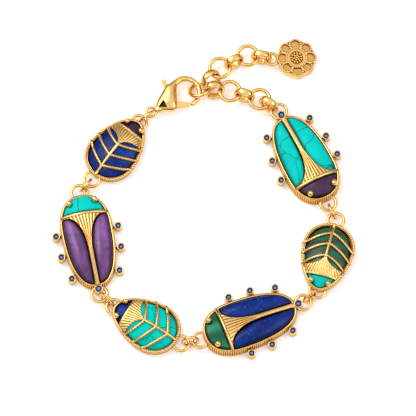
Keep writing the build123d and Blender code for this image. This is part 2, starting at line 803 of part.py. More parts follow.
# The free end of the extender
spot = hooked
for name, degrees_turn in open_route:
    turn = radians(degrees_turn)
    goal = ahead(spot, turn, run_length(name))
    if name == "rosette":
        reach = link_middle_radius + run_length(name) - (rosette_loop_outer - rosette_loop_wire) / 2
        place_band("chain_band_6", ahead(spot, turn, reach / 2), turn)
        middle = ahead(goal, radians(rosette_direction), -rosette_loop_x * cos(radians(rosette_lean)))
        lift = rosette_radius * sin(radians(rosette_lean))
        facing = Location((*middle, lift), (0, 0, rosette_direction))
        place_piece(name, rosette.part, facing * Location((0, 0, 0), (0, rosette_lean, 0)))
    else:
        place_piece(name, chain_link.part, Location((*goal, chain_height)))
    if name == "chain_link_4":
        place_hooked_band("chain_band_4", hooked, turn)
    if name == "chain_link_5":
        place_band("chain_band_5", ahead(spot, turn, run_length(name) / 2), turn)
    spot = goal

# The bracelet is moved so that its origin is on the table under its middle
box = Compound(list(pieces.values())).bounding_box()
home = Location((-(box.min.X + box.max.X) / 2, -(box.min.Y + box.max.Y) / 2, -box.min.Z))
os.makedirs("parts", exist_ok=True)
for name, piece in pieces.items():
    part = piece.moved(home)
    part.label = name
    export_step(part, f"parts/{name}.step")
pin = (home * clasp_there * Location((*pivot_place, 0))).position
clasp_axis = (home * clasp_there).orientation
print("size", [round(value, 2) for value in box.size], "pieces", len(pieces))
print("lever pin", [round(value, 3) for value in pin], "clasp turn", round(clasp_axis.Z, 2))
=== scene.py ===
# %% [markdown]
# # An inlaid scarab bracelet
# The bracelet lies closed on a pale table: six scarabs of gold and polished stone, the rings between
# them, a lobster clasp and a short extender with a rosette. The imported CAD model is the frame. Every
# piece made here stands on the place that the frame gives it, in metres, with its place in its mesh.

# %% The frame
import json
import math

import bmesh
import bpy
import numpy as np
from mathutils import Matrix

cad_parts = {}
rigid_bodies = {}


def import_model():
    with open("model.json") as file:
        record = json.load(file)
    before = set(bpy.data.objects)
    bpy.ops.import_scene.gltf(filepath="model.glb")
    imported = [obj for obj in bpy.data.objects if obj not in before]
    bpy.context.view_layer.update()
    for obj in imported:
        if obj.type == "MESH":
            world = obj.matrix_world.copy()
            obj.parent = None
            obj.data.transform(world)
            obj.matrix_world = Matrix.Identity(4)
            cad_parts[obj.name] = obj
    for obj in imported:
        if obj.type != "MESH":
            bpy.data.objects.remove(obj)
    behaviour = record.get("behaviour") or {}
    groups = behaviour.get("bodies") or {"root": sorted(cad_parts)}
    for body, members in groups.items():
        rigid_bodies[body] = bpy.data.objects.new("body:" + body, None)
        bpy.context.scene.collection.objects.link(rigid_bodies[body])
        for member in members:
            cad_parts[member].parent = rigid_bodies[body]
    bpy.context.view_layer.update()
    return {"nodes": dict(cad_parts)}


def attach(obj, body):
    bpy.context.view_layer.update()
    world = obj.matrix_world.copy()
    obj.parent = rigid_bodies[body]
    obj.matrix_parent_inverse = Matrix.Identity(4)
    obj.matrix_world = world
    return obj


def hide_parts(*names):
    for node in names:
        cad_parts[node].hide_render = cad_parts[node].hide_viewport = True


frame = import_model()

nodes = frame["nodes"]

# %% [markdown]
# ## The view
# The photograph looks down on the bracelet from its lower side, steeply. A very long lens a metre and a
# half away keeps the six scarabs almost free of perspective, as the photographer's did.

# %% Camera
MM = 0.001
look_at = np.array((1.066, -2.242, 0.0)) * MM
elevation = math.radians(70.0)
roll = math.radians(0.75)
camera_distance = 1500.0 * MM


def placed(name, data):
    """A new object that holds the data, in the scene and at its origin."""
    thing = bpy.data.objects.new(name, data)
    bpy.context.scene.collection.objects.link(thing)
    return thing


lens = bpy.data.cameras.new("camera")
lens.lens = 554.9
lens.sensor_width = 36.0
lens.clip_start = 0.05
camera = placed("camera", lens)
camera.location = look_at + camera_distance * np.array((0.0, -math.cos(elevation), math.sin(elevation)))
tilt = Matrix.Rotation(math.pi / 2 - elevation, 3, "X") @ Matrix.Rotation(roll, 3, "Z")
camera.rotation_euler = tilt.to_euler()
bpy.context.scene.camera = camera
print("camera stands at", [round(c, 4) for c in camera.location])

# %% [markdown]
# ## Surfaces from arrays
# What is soldered, cast or cut could be modelled by hand with modifiers, but formulas draw it more
# evenly, as a surface with two parameters: a grid of points whose rows are closed rings, and which may
# also close from its last row to its first. Grids of one soldered piece go into one mesh. A grid whose
# outermost row shrinks to a point closes there once its doubles are merged. The volume of each grid
# tells whether its faces point outwards, and a grid that is inside out is flipped.


# %% Grids into meshes
def points_of(x, y, z):
    """Points from their three coordinates; a plain number serves for all of them."""
    return np.stack(np.broadcast_arrays(x, y, z), -1)


def surface(points, closed=False, painted_light_and_shade=None):
    """A grid of points in mm, whether its rows close too, and how much painted shade each point gets from
    lying deep in a groove or near a stone's edge, or on a small round stone how much painted highlight.
    """
    points = np.asarray(points, float)
    painted_light_and_shade = np.zeros(points.shape[:2]) if painted_light_and_shade is None else painted_light_and_shade
    return {"points": points, "closed": closed, "painted_light_and_shade": painted_light_and_shade}


def quads_of(shape, closed):
    """Each point is joined to the next one in its row and to both in the row after."""
    rows, columns = shape
    row = np.arange(rows if closed else rows - 1)[:, None]
    here, there = row * columns, (row + 1) % rows * columns
    column = np.arange(columns)
    ahead = (column + 1) % columns
    return np.stack((here + column, here + ahead, there + ahead, there + column), -1).reshape(-1, 4)


def volume_of(points, quads):
    """A sixth of the sum of triple products of each face's triangles, which is positive facing out."""
    a, b, c, d = (points[quads[:, corner]] for corner in range(4))
    return float((a * np.cross(b, c)).sum() + (a * np.cross(c, d)).sum()) / 6.0


def turn_about(axis, degrees):
    """The matrix that turns about one of the three axes by an angle."""
    c, s = math.cos(math.radians(degrees)), math.sin(math.radians(degrees))
    if axis == "x":
        return np.array(((1, 0, 0), (0, c, -s), (0, s, c)))
    if axis == "y":
        return np.array(((c, 0, s), (0, 1, 0), (-s, 0, c)))
    return np.array(((c, -s, 0), (s, c, 0), (0, 0, 1)))


def moved(surfaces, matrix, place=(0.0, 0.0, 0.0)):
    """The same surfaces, turned and put in their place."""
    return [dict(s, points=s["points"] @ matrix.T + np.array(place)) for s in surfaces]


made = {}
WELD = 1e-7


def welded(source, target, matrix=None):
    """Copies one mesh into another, turned if a matrix is given, with its doubled points merged."""
    work = bmesh.new()
    work.from_mesh(source)
    if matrix is not None:
        work.transform(matrix)
    bmesh.ops.remove_doubles(work, verts=work.verts, dist=WELD)
    work.to_mesh(target)
    work.free()


def dress(name, mesh, material, stands_for=(), slot="gold", sharp=50.0):
    """An object from a finished mesh. It rides with the bracelet: only the lever moves, and that one keeps
    the CAD's mesh."""
    mesh.shade_smooth()
    mesh.set_sharp_from_angle(angle=math.radians(sharp))
    mesh.materials.clear()
    mesh.materials.append(material)
    piece = placed(name, mesh)
    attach(piece, "bracelet")
    if stands_for:
        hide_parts(*stands_for)
    made[name] = len(mesh.polygons)
    print("made", name, "with", len(mesh.polygons), "faces")


def make_piece(name, surfaces, material, **rest):
    """One object from several grids: vertices in metres, merged poles, the painted shade and highlight kept
    as an attribute.
    """
    points, quads, painted_light_and_shade_parts, count = [], [], [], 0
    for s in surfaces:
        flat = s["points"].reshape(-1, 3)
        faces = quads_of(s["points"].shape[:2], s["closed"])
        if volume_of(flat - flat.mean(0), faces) < 0:
            faces = faces[:, ::-1]
        points.append(flat)
        quads.append(faces + count)
        painted_light_and_shade_parts.append(s["painted_light_and_shade"].reshape(-1))
        count += len(flat)
    points, quads = np.concatenate(points) * MM, np.concatenate(quads)
    mesh = bpy.data.meshes.new(name)
    mesh.vertices.add(len(points))
    mesh.vertices.foreach_set("co", points.ravel())
    mesh.loops.add(quads.size)
    mesh.loops.foreach_set("vertex_index", quads.ravel())
    mesh.polygons.add(len(quads))
    mesh.polygons.foreach_set("loop_start", np.arange(0, quads.size, 4))
    mesh.update(calc_edges=True)
    depth = mesh.attributes.new("painted_light_and_shade", "FLOAT", "POINT")
    depth.data.foreach_set("value", np.concatenate(painted_light_and_shade_parts))
    welded(mesh, mesh)
    dress(name, mesh, material, **rest)


# %% [markdown]
# ## Gold
# The metal is a warm yellow gold, polished but handled: broad soft reflections and a slight unevenness.
# The grooves and hollows take a redder, darker tone: painted shade, where the light reaches less. An image
# could hold that painted shade, but it is truer from the shape: each surface carries how deep its points lie
# as an attribute, and the shader also darkens by how closed in a place is.


# %% Node helpers
def set_inputs(tree, node, values):
    """Each input gets a number or a colour, or is joined to a socket."""
    for name, value in values.items():
        if isinstance(value, bpy.types.NodeSocket):
            tree.links.new(value, node.inputs[name])
        else:
            node.inputs[name].default_value = value


def add_node(tree, kind, values, **settings):
    """A new shader node of some kind with its settings and its inputs."""
    node = tree.nodes.new("ShaderNode" + kind)
    for setting, value in settings.items():
        setattr(node, setting, value)
    set_inputs(tree, node, values)
    return node


def new_material(name):
    """A new material, its node tree, its shader, and the place on the object."""
    material = bpy.data.materials.new(name)
    material.use_nodes = True
    tree = material.node_tree
    tree.nodes.clear()
    shader = tree.nodes.new("ShaderNodeBsdfPrincipled")
    add_node(tree, "OutputMaterial", {"Surface": shader.outputs["BSDF"]})
    return material, tree, shader, tree.nodes.new("ShaderNodeTexCoord").outputs["Object"]


def noise(tree, place, per_mm, detail, rough=0.5, distortion=0.0):
    """Cloudy noise with so many features to the millimetre."""
    return add_node(tree, "TexNoise", {
        "Vector": place, "Scale": per_mm / MM, "Detail": detail, "Roughness": rough, "Distortion": distortion,
    }).outputs["Fac"]


def ramp(tree, value, stops):
    """A colour that follows a value through the given (value, colour) stops."""
    node = add_node(tree, "ValToRGB", {"Fac": value})
    marks = node.color_ramp.elements
    while len(marks) < len(stops):
        marks.new(0.5)
    for mark, (at, colour) in zip(marks, stops):
        mark.position = at
        mark.color = (*colour, 1.0)
    return node.outputs["Color"]


def clouds(tree, place, grain, stops):
    """A colour that follows cloudy noise through the given stops."""
    return ramp(tree, noise(tree, place, *grain), stops)


def spread(tree, value, low, high, to_low, to_high):
    """The value's range from low to high, carried over to another range and held there."""
    node = add_node(tree, "MapRange", {
        "Value": value, "From Min": low, "From Max": high, "To Min": to_low, "To Max": to_high})
    return node.outputs["Result"]


def mixed(tree, share, first, second):
    """A colour that goes from a socket's to a plain one by a share."""
    node = add_node(tree, "Mix", {0: share}, data_type="RGBA")
    start, end = [socket for socket in node.inputs if socket.type == "RGBA"]
    tree.links.new(first, start)
    end.default_value = (*second, 1.0)
    return [socket for socket in node.outputs if socket.type == "RGBA"][0]


def painted_light_and_shade_of(tree):
    """The attribute of painted shade and highlight: how deep in a groove, or how near a stone's edge, a point
    lies, and on the small round stones where the painted highlight goes.
    """
    return add_node(tree, "Attribute", {}, attribute_name="painted_light_and_shade").outputs["Fac"]


def maths(tree, operation, first, second):
    """One operation on two values, each a socket or a plain number."""
    return add_node(tree, "Math", {0: first, 1: second}, operation=operation).outputs[0]


# %% Gold finish
def occlusion_shade(tree, reach_mm):
    """Painted shade by ambient occlusion: how closed in a place is, one minus the share of open directions
    within a short reach.
    """
    node = add_node(tree, "AmbientOcclusion", {"Distance": reach_mm * MM}, samples=6)
    return spread(tree, node.outputs["AO"], 0.25, 0.75, 1.0, 0.0)


def gold_finish(name, bright, painted_shade_colour, rough_low, rough_high):
    """Polished gold: painted shade from grooves and closed-in places, tone from soft clouds, gloss and relief
    from finer clouds.
    """
    material, tree, shader, place = new_material(name)
    dim = tuple(0.93 * c for c in bright)
    worn = clouds(tree, place, (0.35, 2.0), ((0.3, dim), (0.7, bright)))
    # painted shade: where a point lies deep or closed in, the gold turns to the darker colour
    low = maths(tree, "MAXIMUM", painted_light_and_shade_of(tree), occlusion_shade(tree, 0.8))
    relief = add_node(tree, "Bump", {"Distance": 0.015 * MM, "Height": noise(tree, place, 1.4, 2.0)})
    set_inputs(tree, shader, {
        "Base Color": mixed(tree, low, worn, painted_shade_colour), "Metallic": 1.0, "Specular Tint": (1.0, 0.82, 0.55, 1.0),
        "Roughness": spread(tree, noise(tree, place, 1.6, 4.0, 0.6), 0.3, 0.7, rough_low, rough_high),
        "Normal": relief.outputs["Normal"]})
    return material


# the second colour is the painted shade in grooves and hollows
gold = gold_finish("yellow_gold", (0.95, 0.61, 0.215), (0.33, 0.088, 0.008), 0.15, 0.27)
print("gold finish:", gold.name)

# %% [markdown]
# ## Stones
# Four kinds of opaque stone, each with its own pattern inside: turquoise with a few dark hair veins, lapis
# with paler clouds and specks of pyrite, amethyst with purple clouds, and banded malachite. The small round
# stones are glassy blue, with a painted highlight in the middle. Photographs could be wrapped round them, but
# noise, cells and waves run through a stone as its own pattern does, and stay sharp near by. A thin clear
# coat stands for the polish.


# %% Stone finishes
def glossy(name, paint, rough, shine, *details):
    """A hard, clear, polished surface with one of the paints below."""
    material, tree, shader, place = new_material(name)
    set_inputs(tree, shader, {
        "Base Color": paint(tree, place, *details), "Roughness": rough, "Coat Weight": 0.2 * shine,
        "Coat Roughness": 0.1, "Specular IOR Level": shine, "IOR": 1.5})
    return material


def cell_edges(tree, place, per_mm, bend):
    """Distance to the nearest border between irregular cells, in a space bent by noise."""
    warp = add_node(tree, "TexNoise", {"Vector": place, "Scale": 300.0})
    bent = add_node(tree, "MixRGB", {
        "Fac": bend, "Color1": place, "Color2": warp.outputs["Color"]}, blend_type="ADD")
    cells = add_node(tree, "TexVoronoi", {
        "Vector": bent.outputs["Color"], "Scale": per_mm / MM}, feature="DISTANCE_TO_EDGE")
    return cells.outputs["Distance"]


def edged(tree, body, dark, power=1.4):
    """The body colour, sinking to a dark one at the stone's edges, where the setting shades it."""
    return mixed(tree, maths(tree, "POWER", painted_light_and_shade_of(tree), power), body, dark)


def turquoise_paint(tree, place):
    """Even blue-green with faint clouds and thin dark veins."""
    body = clouds(tree, place, (0.3, 4.0), ((0.35, (0.0, 0.55, 0.50)), (0.7, (0.0, 0.68, 0.61))))
    vein = spread(tree, cell_edges(tree, place, 0.12, 0.0024), 0.0, 0.016, 0.9, 0.0)
    return edged(tree, mixed(tree, vein, body, (0.004, 0.06, 0.06)), (0.01, 0.10, 0.08), 2.2)


def lapis_paint(tree, place):
    """Deep blue with paler clouds and pyrite specks."""
    body = clouds(tree, place, (0.4, 5.0, 0.6),
                  ((0.3, (0.0, 0.010, 0.11)), (0.55, (0.001, 0.026, 0.22)), (0.8, (0.010, 0.055, 0.36))))
    specks = add_node(tree, "TexVoronoi", {"Vector": place, "Scale": 1400.0})
    gilt = spread(tree, specks.outputs["Distance"], 0.06, 0.12, 0.75, 0.0)
    return edged(tree, mixed(tree, gilt, body, (0.6, 0.45, 0.2)), (0.003, 0.004, 0.025))


def amethyst_paint(tree, place, grain, stops, dark, power):
    """Purple with rosy and dark clouds."""
    return edged(tree, clouds(tree, place, grain, stops), dark, power)


def malachite_paint(tree, place, dark, light, per_mm):
    """Bands of two greens that bend as the stone grew."""
    bands = add_node(tree, "TexWave", {
        "Vector": place, "Scale": per_mm / MM, "Distortion": 6.0, "Detail": 3.0, "Detail Scale": 0.6},
        wave_type="RINGS")
    between = tuple((d + l) / 2 for d, l in zip(dark, light))
    body = ramp(tree, bands.outputs["Fac"], ((0.1, dark), (0.5, between), (0.9, light)))
    return edged(tree, body, tuple(0.25 * d for d in dark))


def glass_paint(tree, place):
    """Clear blue, with a painted highlight in the middle where the light would come back through the facets.
    """
    return ramp(tree, painted_light_and_shade_of(tree),
                ((0.0, (0.004, 0.02, 0.13)), (0.6, (0.015, 0.07, 0.34)), (1.0, (0.16, 0.34, 0.72))))


# %% The stones' materials
turquoise = glossy("turquoise_stone", turquoise_paint, 0.4, 0.06)
lapis = glossy("lapis_stone", lapis_paint, 0.2, 0.16)
amethyst = glossy("amethyst_stone", amethyst_paint, 0.2, 0.3, (0.2, 5.0, 0.62, 0.6),
                  ((0.3, (0.085, 0.033, 0.11)), (0.5, (0.19, 0.064, 0.25)), (0.72, (0.34, 0.12, 0.42))),
                  (0.018, 0.009, 0.026), 0.8)
dark_amethyst = glossy("dark_amethyst_stone", amethyst_paint, 0.18, 0.3, (0.3, 4.0, 0.6, 0.8),
                       ((0.3, (0.03, 0.012, 0.036)), (0.6, (0.062, 0.022, 0.08)), (0.85, (0.13, 0.06, 0.17))),
                       (0.008, 0.004, 0.01), 1.4)
malachite = glossy("malachite_stone", malachite_paint, 0.2, 0.3,
                   (0.0, 0.10, 0.045), (0.004, 0.21, 0.115), 0.07)
grey_malachite = glossy("grey_malachite_stone", malachite_paint, 0.2, 0.3,
                        (0.04, 0.06, 0.055), (0.006, 0.14, 0.07), 0.13)
blue_round = glossy("blue_round_stone", glass_paint, 0.06, 0.3)
print("stone finishes:", [m.name for m in bpy.data.materials if m.name.endswith("_stone")])

# %% [markdown]
# ## The egg outline
# Every scarab, large or small, is drawn on an egg: half an ellipse of a higher power for the head and
# another for the tail, which meet at the widest place. The same outline, moved in, gives the rim, the
# floor and the edges of the stones. Its points are spread evenly along its length, so that beads and
# ribs round the edge keep one spacing.

# %% Outline
LARGE = {"half_width": 6.15, "widest": 3.85, "head": 8.4, "tail": 14.4,
         "head_power": 2.3, "tail_power": 2.4, "stone_inset": 0.73, "seat": 1.18}
SMALL = {"half_width": 5.9, "widest": -1.15, "head": 10.65, "tail": 5.95,
         "head_power": 1.8, "tail_power": 2.05, "stone_inset": 0.63, "seat": 0.98}


def egg(kind, inset, angle):
    """x is (half width - inset) |cos|^(2/p), y is the widest place plus (length - inset) |sin|^(2/p)."""
    c, s = np.cos(angle), np.sin(angle)
    length = np.where(s > 0, kind["head"], kind["tail"]) - inset
    power = np.where(s > 0, kind["head_power"], kind["tail_power"])
    x = (kind["half_width"] - inset) * np.sign(c) * np.abs(c) ** (2 / power)
    y = kind["widest"] + length * np.sign(s) * np.abs(s) ** (2 / power)
    return x, y


def egg_half_width(kind, inset, y):
    """Half the width of the egg at y: the superellipse solved for x."""
    away = y - kind["widest"]
    length = np.where(away > 0, kind["head"], kind["tail"]) - inset
    power = np.where(away > 0, kind["head_power"], kind["tail_power"])
    share = np.clip(np.abs(away) / length, 0, 1)
    return (kind["half_width"] - inset) * (1 - share ** power) ** (1 / power)


def even_angles(kind, count):
    """Angles whose places on the outline lie the same length apart."""
    angle = np.linspace(0, 2 * np.pi, 6001)
    x, y = egg(kind, 0, angle)
    run = np.concatenate(([0], np.cumsum(np.hypot(np.diff(x), np.diff(y)))))
    return np.interp(np.arange(count) / count * run[-1], run, angle)


def outward(kind, angle):
    """The direction square to the outline, from two places close on each side."""
    ahead_x, ahead_y = egg(kind, 0, angle + 0.004)
    behind_x, behind_y = egg(kind, 0, angle - 0.004)
    run = np.hypot(ahead_x - behind_x, ahead_y - behind_y)
    return (ahead_y - behind_y) / run, -(ahead_x - behind_x) / run


for kind, name in ((LARGE, "large"), (SMALL, "small")):
    print(name, "outline:", 2 * kind["half_width"], "by", round(kind["head"] + kind["tail"], 2), "mm")

# %% [markdown]
# ## The arched backs
# The backs of the scarabs are arched along and across. The CAD model turns an arc about a low axis. A
# projection onto it would copy its facets, so the height above any place is worked out instead, from the
# arc's height there and the distance from the middle line.


# %% Arched backs
def arc_height(y, places):
    """Height of the circle through three (y, height) places."""
    (y1, z1), (y2, z2), (y3, z3) = places
    a = np.array(((y2 - y1, z2 - z1), (y3 - y1, z3 - z1))) * 2
    b = np.array((y2 ** 2 - y1 ** 2 + z2 ** 2 - z1 ** 2, y3 ** 2 - y1 ** 2 + z3 ** 2 - z1 ** 2))
    centre_y, centre_z = np.linalg.solve(a, b)
    radius = math.hypot(y1 - centre_y, z1 - centre_z)
    return centre_z + np.sqrt(np.maximum(radius ** 2 - (y - centre_y) ** 2, 0))


def back_height(x, y, places, axis):
    """The arc turned about a line at the axis height: axis + sqrt(arc radius squared - x squared)."""
    radius = arc_height(y, places) - axis
    return axis + np.sqrt(np.maximum(radius ** 2 - x ** 2, 0.01))


LARGE_ARCH = ((-11.15, 2.75), (0.85, 4.6), (12.85, 4.3))
SMALL_ARCH = ((-7.1, 1.95), (1.2, 4.4), (9.5, 2.1))
WING_ARCH = ((-8.563, 2.7), (0.0, 4.1), (8.563, 3.6))
WING_MIDDLE = (2.5, -1.7)
WING_LEAN = math.atan2(2.0, 15.8)
RIM_AT_TAIL, RIM_AT_HEAD, SMALL_RIM = 2.45, 3.3, 2.1


def large_back(x, y):
    """The large scarab's back, an arc about a line 5 mm under the table."""
    return back_height(x, y, LARGE_ARCH, -5.0)


def small_back(x, y):
    """The small scarab's back, an arc about a line 3.5 mm under the table."""
    return back_height(x, y, SMALL_ARCH, -3.5)


def wing_back(x, y):
    """The same barrel, laid along the wing's own line, which leans outwards to the head."""
    dx, dy = x - WING_MIDDLE[0], y - WING_MIDDLE[1]
    across = dx * math.cos(WING_LEAN) - dy * math.sin(WING_LEAN)
    along = dx * math.sin(WING_LEAN) + dy * math.cos(WING_LEAN)
    return back_height(across, along, WING_ARCH, 0.4)


def large_rim_top(y):
    """The large rim climbs evenly from the tail's tip to the head's."""
    tail_tip = LARGE["widest"] - LARGE["tail"]
    return RIM_AT_TAIL + (RIM_AT_HEAD - RIM_AT_TAIL) / (LARGE["head"] + LARGE["tail"]) * (y - tail_tip)


def small_rim_top(y):
    """The small rim is level."""
    return SMALL_RIM + 0.0 * y


print("back of the large scarab at its middle:", round(float(large_back(0.0, 0.0)), 2), "mm")

# %% [markdown]
# ## Basic forms
# Five forms serve for most pieces: a tray (base, wall and rim in one closed profile round the egg), a
# slab between two side lines with a rolled edge, a turned profile, a ball and a wire along a path.
# Blender's own curves with a bevel would make the wires, but not their twists and beads.


# %% Tray with a ribbed wall
BASE, FOOT, WALL, LIP, WELL = range(5)
RIB_FOOT, RIB_HEAD, GROOVE = 0.34, 0.26, 0.25
# painted shade on the foot and the wall, and more in the well inside the rim
PAINTED_SHADE_BY_STEP = {FOOT: 0.25, WALL: 0.25, WELL: 0.75}


def tray(kind, rim, floor, rim_top, count, ribs, rib_depth):
    """A closed profile carried round the egg; ribs push the wall out by |sin|^0.6 of their count. Each
    step of the profile has its inset and its level: a share of the wall's height for WALL, how far
    below the rim's top for LIP, and else the height itself."""
    angle = even_angles(kind, count)
    nx, ny = outward(kind, angle)
    profile = [(inset, z, BASE) for inset, z in ((0.30, 0.0), (0.10, 0.04), (0.0, 0.16), (0.0, 0.3))]
    profile += [(0.0, RIB_FOOT, FOOT)] + [(0.0, share, WALL) for share in (0.25, 0.5, 0.75)]
    profile += [(inset, drop, LIP) for inset, drop in (
        (0.0, RIB_HEAD), (0.03, 0.12), (0.1, 0.03), (0.18, 0.01), (GROOVE, 0.08), (0.31, 0.02), (0.42, 0.0),
        (rim - 0.08, 0.05), (rim - 0.02, 0.12), (rim, 0.22))]
    profile += [(rim, floor + 0.1, WELL), (rim, floor, WELL)]
    rib = np.abs(np.sin(np.pi * ribs * np.arange(count) / count)) ** 0.6
    rows = [points_of(0.0, kind["widest"], np.zeros(count))]
    painted_light_and_shade_parts = [np.zeros(count)]
    for inset, level, sort in profile:
        x, y = egg(kind, inset, angle)
        strength = 1.0 if sort in (FOOT, WALL) else 0.0
        if sort == WALL:
            level = RIB_FOOT + (rim_top(y) - RIB_HEAD - RIB_FOOT) * level
        elif sort == LIP:
            strength = max(0.0, 1 - inset / 0.3)
            level = rim_top(y) - level
        push = rib_depth * strength * (rib - 1)
        rows.append(points_of(x + nx * push, y + ny * push, level))
        # painted shade: in the grooves between the ribs, on the wall, in the well and in the rim's groove
        shade_level = PAINTED_SHADE_BY_STEP.get(sort, 0.0) + (0.6 if inset == GROOVE else 0.0)
        painted_light_and_shade_parts.append(np.clip(strength * (1 - rib) * 1.3 + shade_level, 0, 1))
    middle = np.array((0.0, kind["widest"], floor))
    rows += [middle + (rows[-1] - middle) * 0.5, np.tile(middle, (count, 1))]
    # painted shade on the floor inside the rim
    painted_light_and_shade_parts += [np.full(count, 0.8)] * 2
    return surface(rows, painted_light_and_shade=np.array(painted_light_and_shade_parts))


# %% Slab between two lines
def slab(left, right, y, top, low, edge, columns,
         pattern=None, blunt=(False, False), painted_shade_side=0.0, shade=0.0):
    """x runs from the left line to the right one and z follows the top. Within `edge` of a side the top rolls
    down by a quarter round. The sides drop to `low`, and the ends close there. Within `shade` of a side the
    painted shade rises to full, as the setting shades a stone's edge; a pattern adds painted shade in its
    grooves, and the sides get a painted shade of their own."""
    y, left, right = y[:, None], left[:, None], right[:, None]
    t = -np.cos(np.linspace(0, np.pi, columns))
    x = left + (right - left) * (t + 1) / 2
    slope_left = np.hypot(1, np.gradient(left[:, 0], y[:, 0]))[:, None]
    slope_right = np.hypot(1, np.gradient(right[:, 0], y[:, 0]))[:, None]
    gap = np.minimum((x - left) / slope_left, (right - x) / slope_right)
    if blunt[0]:
        gap = np.minimum(gap, y - y[0])
    if blunt[1]:
        gap = np.minimum(gap, y[-1] - y)
    yy = y + 0 * x
    z = top(x, yy)
    painted_light_and_shade = np.zeros_like(z)
    if pattern:
        drop, painted_light_and_shade = pattern(t + 0 * yy, x, yy)
        z = z - drop
    if shade:
        painted_light_and_shade = np.maximum(painted_light_and_shade, 1 - np.clip(gap / shade, 0, 1))
    part = 1 - np.clip(gap / edge, 0, 1)
    z = z - edge * (1 - np.sqrt(np.maximum(1 - part ** 2, 0)))
    upper = points_of(x, yy, z)
    lower = upper[:, ::-1].copy()
    lower[..., 2] = low
    grid = np.concatenate((upper, lower), 1)
    ends = grid[[0, -1]].copy()
    ends[..., 2] = low
    grid = np.concatenate((ends[:1], grid, ends[1:]))
    painted_light_and_shade = np.concatenate((painted_light_and_shade, np.full_like(painted_light_and_shade, painted_shade_side)), 1)
    painted_light_and_shade = np.concatenate((painted_light_and_shade[:1], painted_light_and_shade, painted_light_and_shade[-1:]))
    return surface(grid, painted_light_and_shade=painted_light_and_shade)


def crowded(low, high, count):
    """Values from low to high that crowd at both ends, as a cosine does."""
    return low + (high - low) * (1 - np.cos(np.linspace(0, np.pi, count))) / 2


# %% Turned profile, wire and ring
def lathe(profile, place, count, painted_light_and_shade=None):
    """A profile of (radius, height) turned about an upright line."""
    profile = np.asarray(profile, float)
    angle = np.arange(count) / count * 2 * np.pi
    radius, height = profile[:, :1], profile[:, 1:]
    points = points_of(radius * np.cos(angle), radius * np.sin(angle), height) + (*place, 0.0)
    shade = None if painted_light_and_shade is None else np.asarray(painted_light_and_shade, float)[:, None] + 0 * angle
    return surface(points, painted_light_and_shade=shade)


def ball(radius, height, start, count):
    """A ball's profile, from an angle below its middle up to its top."""
    angle = np.radians(np.linspace(start, 90, count))
    return np.stack((radius * np.cos(angle), height + radius * np.sin(angle)), -1)


def frames_along(path, closed):
    """At each point of a path: its direction, its side and its upper side."""
    ahead = np.roll(path, -1, 0) - np.roll(path, 1, 0) if closed else np.gradient(path, axis=0)
    ahead /= np.linalg.norm(ahead, axis=1)[:, None]
    side = np.cross(ahead, (0.0, 0.0, 1.0))
    side /= np.linalg.norm(side, axis=1)[:, None]
    return ahead, side, np.cross(side, ahead)


def rounded(wave, power):
    """A sine or cosine raised to a power below one, which squares an oval's corners."""
    return np.sign(wave) * np.abs(wave) ** power


def wire(path, wide, high, closed=False, sides=14, twist=None, beads=None, square=1.0):
    """An oval section carried along a path. A twist pinches it by |cos| of a turn that runs along it, and
    beads pinch the whole section by |sin| of the run."""
    ahead, side, upper = frames_along(path, closed)
    angle = np.arange(sides) / sides * 2 * np.pi
    strand, depth = np.ones((len(path), sides)), 0.0
    if twist or beads:
        pitch, depth = twist or beads
        steps = np.linalg.norm(np.diff(path, axis=0), axis=1)
        run = np.concatenate(([0], np.cumsum(steps)))
        total = run[-1] + (np.linalg.norm(path[0] - path[-1]) if closed else 0.0)
        turns = max(1, round(total / pitch))
        lean = angle if twist else np.full(sides, np.pi / 2)
        strand = np.abs(np.cos(lean + np.pi * turns * run[:, None] / total)) ** 0.7
    swell = 1 - depth * (1 - strand)
    # painted shade in the pinches of the twist and between the beads
    painted_light_and_shade = 0.6 * (1 - strand)
    high = np.broadcast_to(high, len(path))[:, None, None]
    across, up = rounded(np.cos(angle), square), rounded(np.sin(angle), square)
    ring = side[:, None] * wide * across[:, None] + upper[:, None] * high * up[:, None]
    points = path[:, None] + ring * swell[..., None]
    if not closed:
        def cap(end, sign):
            """Three shrinking sections that round off one end."""
            return [path[end] + sign * ahead[end] * high[end, 0, 0] * math.sqrt(1 - share ** 2)
                    + ring[end] * share * swell[end][:, None] for share in (0.85, 0.5, 0.0)]
        points = np.concatenate((cap(0, -1)[::-1], points, cap(-1, 1)))
        painted_light_and_shade = np.concatenate((np.zeros((3, sides)), painted_light_and_shade, np.zeros((3, sides))))
    return surface(points, closed, painted_light_and_shade)


def ring_path(radius, count, start=0.0, stop=360.0):
    """Points on a circle, the whole way round or from one angle to another."""
    whole = abs(stop - start) >= 360
    angle = np.radians(np.linspace(start, stop, count, endpoint=not whole))
    return points_of(radius * np.cos(angle), radius * np.sin(angle), 0.0)


# %% [markdown]
# ## The large scarab
# Gold: a tray with a ribbed wall, a rounded bar behind the head, a fan of eleven flutes that narrows
# to a spine, two round eyes, six leg cups and a tail cup, and a loop at each end. On the real piece
# these are cast or soldered as one, so they make one object. The stones are slabs with rolled edges,
# let in between the gold with a thin dark gap round them. A sculpted mesh could look as rich, but
# outlines that share the egg keep every gap and rim even.


# %% Gold of the large scarab
def fan_half_width(y, grow=0.0):
    """The fan's sides are quarter ellipses that meet the narrow spine."""
    share = np.clip((y + 0.8) / (7.55 - grow), 0, 1)
    return 4.5 - (3.925 - grow) * np.sqrt(1 - share ** 2)


